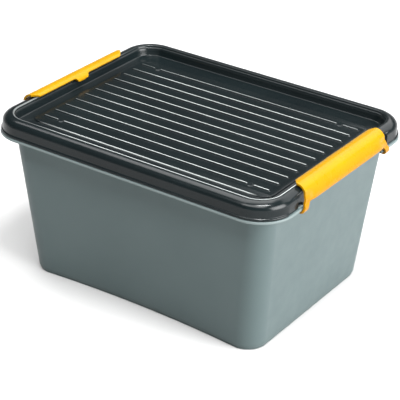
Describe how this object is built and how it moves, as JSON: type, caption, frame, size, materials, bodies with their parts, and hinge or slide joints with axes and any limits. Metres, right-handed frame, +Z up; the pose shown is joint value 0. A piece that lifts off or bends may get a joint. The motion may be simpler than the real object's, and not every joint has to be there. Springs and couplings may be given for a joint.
{
  "type": "toolbox",
  "caption": "Tapered plastic storage and tool box with a ribbed recessed lid, swing-over clip handles on the short sides and a lift-out divided tray inside.",
  "frame": {"origin": "middle of the underside, on the surface the box stands on", "axes": "+X along the long side towards clip_right, +Y along the short side towards the back, +Z up"},
  "size_m": [0.4082, 0.313, 0.2146],
  "materials": {
    "tub_plastic": "satin grey",
    "lid_plastic": "satin charcoal",
    "tray_plastic": "satin charcoal",
    "clip_plastic": "glossy yellow"
  },
  "bodies": {
    "tub": {"tub": "tub_plastic"},
    "tray": {"tray": "tray_plastic"},
    "lid": {"lid": "lid_plastic"},
    "clip_right": {"clip_right": "clip_plastic"},
    "clip_left": {"clip_left": "clip_plastic"}
  },
  "joints": [
    {"name": "tray_lift", "type": "slide", "parent": "tub", "child": "tray", "axis": [0, 0, 1], "range_m": [0, 0.25]},
    {"name": "lid_lift", "type": "slide", "parent": "tray", "child": "lid", "axis": [0, 0, 1], "range_m": [0, 0.25]},
    {"name": "clip_right_hinge", "type": "hinge", "parent": "tub", "child": "clip_right", "pos_m": [0.1988, 0, 0.1886], "axis": [0, 1, 0], "range_deg": [0, 115]},
    {"name": "clip_left_hinge", "type": "hinge", "parent": "tub", "child": "clip_left", "pos_m": [-0.1988, 0, 0.1886], "axis": [0, -1, 0], "range_deg": [0, 115]}
  ]
}
